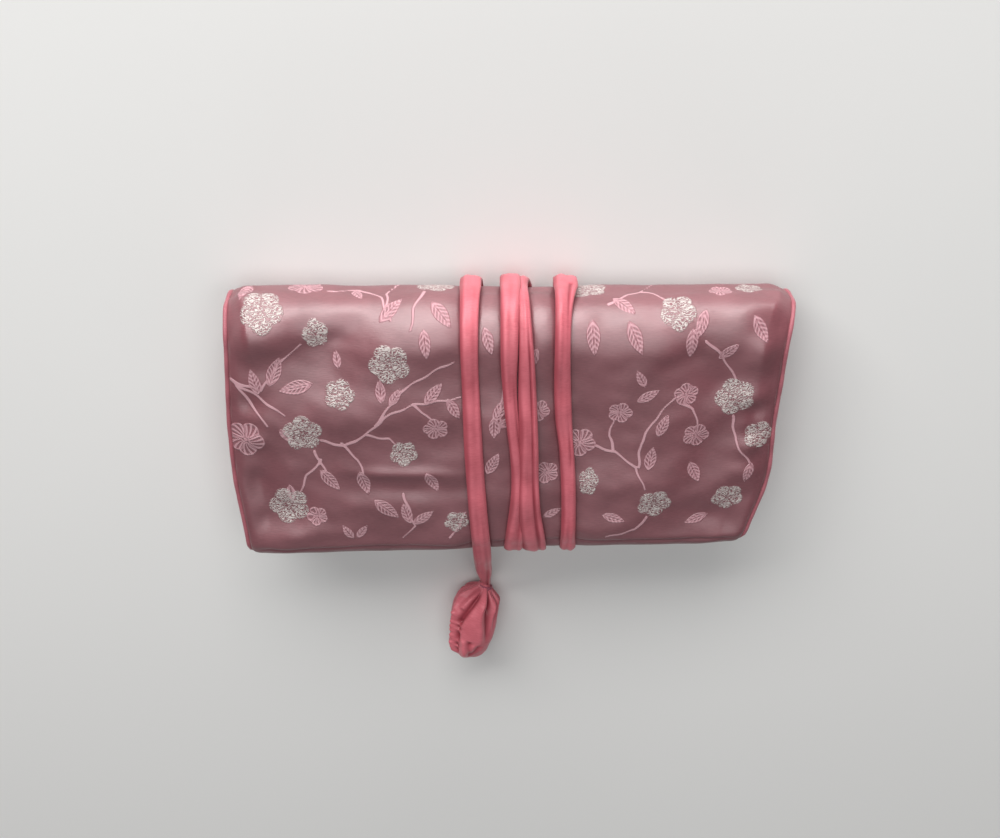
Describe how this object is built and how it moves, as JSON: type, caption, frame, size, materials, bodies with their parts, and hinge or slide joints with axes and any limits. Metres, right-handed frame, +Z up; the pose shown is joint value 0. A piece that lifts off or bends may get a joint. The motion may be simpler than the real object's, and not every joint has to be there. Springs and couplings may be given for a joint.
{
  "type": "jewelry roll",
  "caption": "Padded brocade jewelry roll folded in three around zip pockets and a padded ring bar, wound with a satin tie that ends in a stuffed bud.",
  "frame": {"origin": "on the table under the middle of the closed roll, with the tie's free end left out", "axes": "+X along the roll, +Y towards the top fold, +Z up through the front face"},
  "size_m": [0.19, 0.1606, 0.0363],
  "materials": {
    "brocade": "dusty pink satin brocade with silver and pink thread",
    "wadding": "soft white wadding",
    "lining": "rose satin",
    "tie": "coral pink satin",
    "thread": "sewing thread",
    "zip_tape": "woven tape",
    "zip_coil": "nylon coil",
    "metal": "nickel plated"
  },
  "bodies": {
    "back": {"back_cover": "brocade", "back_wadding": "wadding", "back_lining": "lining", "back_piping_left": "lining", "back_piping_right": "lining", "back_pocket": "lining", "back_zip_tape_upper": "zip_tape", "back_zip_tape_lower": "zip_tape", "back_zip_coil_upper": "zip_coil", "back_zip_coil_lower": "zip_coil", "back_zip_stop_left": "metal", "back_zip_stop_right": "metal", "ring_bar_sewn_tab": "lining", "snap_socket": "metal"},
    "top_fold": {"top_fold_cover": "brocade", "top_fold_wadding": "wadding", "top_fold_lining": "lining", "top_fold_piping_left": "lining", "top_fold_piping_right": "lining"},
    "flap": {"flap_cover": "brocade", "flap_wadding": "wadding", "flap_lining": "lining", "flap_piping": "lining", "flap_pocket": "lining", "flap_zip_tape_upper": "zip_tape", "flap_zip_tape_lower": "zip_tape", "flap_zip_coil_upper": "zip_coil", "flap_zip_coil_lower": "zip_coil", "flap_zip_stop_left": "metal", "flap_zip_stop_right": "metal", "tie_wraps": "tie"},
    "foot_fold": {"foot_fold_cover": "brocade", "foot_fold_wadding": "wadding", "foot_fold_lining": "lining", "foot_fold_piping_left": "lining", "foot_fold_piping_right": "lining"},
    "lip": {"lip_cover": "brocade", "lip_wadding": "wadding", "lip_lining": "lining", "lip_piping": "lining", "lip_pocket": "lining"},
    "ring_bar": {"ring_bar_cover": "lining", "ring_bar_core": "wadding", "ring_bar_snap_tab": "lining", "snap_stud": "metal", "snap_cap": "metal"},
    "back_slider": {"back_zip_slider": "metal", "back_zip_pull": "metal"},
    "flap_slider": {"flap_zip_slider": "metal", "flap_zip_pull": "metal"},
    "tie_end": {"tie_tail": "tie", "bud": "tie", "bud_binding": "thread"}
  },
  "joints": [
    {"name": "top_fold_hinge", "type": "hinge", "parent": "back", "child": "top_fold", "pos_m": [0, 0.04599, 0.00301], "axis": [-1, 0, 0], "range_deg": [0, 90], "deforming": ["tie_wraps"]},
    {"name": "flap_hinge", "type": "hinge", "parent": "top_fold", "child": "flap", "pos_m": [0, 0.04599, 0.03099], "axis": [-1, 0, 0], "range_deg": [0, 90]},
    {"name": "foot_fold_hinge", "type": "hinge", "parent": "back", "child": "foot_fold", "pos_m": [0, -0.04664, 0.00236], "axis": [1, 0, 0], "range_deg": [0, 90]},
    {"name": "lip_hinge", "type": "hinge", "parent": "foot_fold", "child": "lip", "pos_m": [0, -0.04664, 0.02164], "axis": [1, 0, 0], "range_deg": [0, 90]},
    {"name": "ring_bar_lift", "type": "hinge", "parent": "back", "child": "ring_bar", "pos_m": [-0.062, 0.025, 0.01025], "axis": [0, -1, 0], "range_deg": [0, 27]},
    {"name": "tie_tail_swing", "type": "hinge", "parent": "flap", "child": "tie_end", "pos_m": [-0.008, -0.0503, 0.02555], "axis": [-1, 0, 0], "range_deg": [0, 15]},
    {"name": "back_zip_slide", "type": "slide", "parent": "back", "child": "back_slider", "axis": [-1, 0, 0], "range_m": [0, 0.1304]},
    {"name": "flap_zip_slide", "type": "slide", "parent": "flap", "child": "flap_slider", "axis": [1, 0, 0], "range_m": [0, 0.1304]}
  ],
  "couplings": [
    {"joint": "flap_hinge", "follows": "top_fold_hinge", "ratio": 1},
    {"joint": "foot_fold_hinge", "follows": "top_fold_hinge", "ratio": 1},
    {"joint": "lip_hinge", "follows": "top_fold_hinge", "ratio": 1},
    {"joint": "ring_bar_lift", "follows": "top_fold_hinge", "ratio": 0.3},
    {"joint": "tie_tail_swing", "follows": "top_fold_hinge", "ratio": 0.166}
  ]
}
